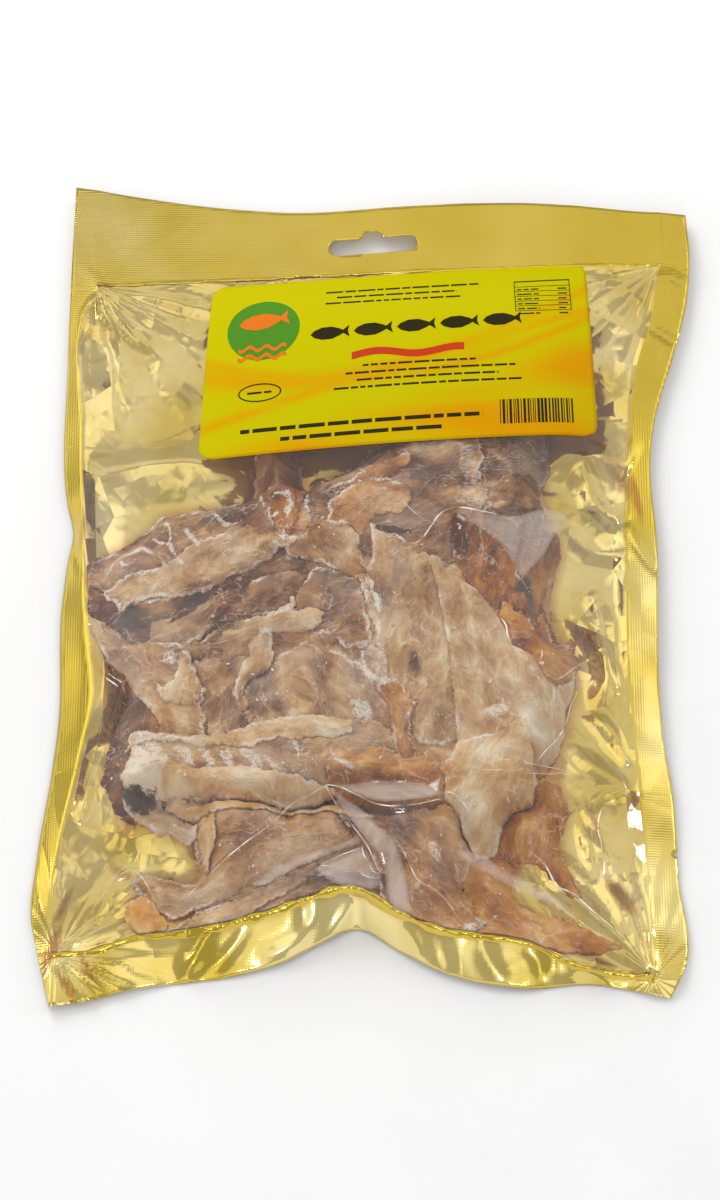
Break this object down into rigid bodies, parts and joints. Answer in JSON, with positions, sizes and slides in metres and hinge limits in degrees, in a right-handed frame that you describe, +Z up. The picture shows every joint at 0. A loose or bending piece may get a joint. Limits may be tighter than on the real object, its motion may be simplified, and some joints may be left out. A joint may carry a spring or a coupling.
{
  "type": "stockfish fillet pack",
  "caption": "Flat heat-sealed pouch with a clear front and a gold foil back, filled with dried stockfish fillets and hung by a slot in its header.",
  "frame": {"origin": "on the table, under the middle of the pack's footprint", "axes": "+X to the right of the pack's front, +Y towards its hanging slot, +Z up through the clear front"},
  "size_m": [0.2274, 0.3032, 0.0323],
  "materials": {
    "gold_foil": "gold metallised laminate, bright and softly creased, with a fine knurled heat seal",
    "dried_fish": "dry, fibrous and waxy, tan with pale streaks and dark skin",
    "clear_film": "clear glossy film with a slight haze",
    "label_stock": "yellow printed paper, satin",
    "label_ink": "flat printing ink"
  },
  "bodies": {
    "root": {"foil_back": "gold_foil", "bag_front": "dried_fish", "label": "label_stock"}
  },
  "joints": []
}
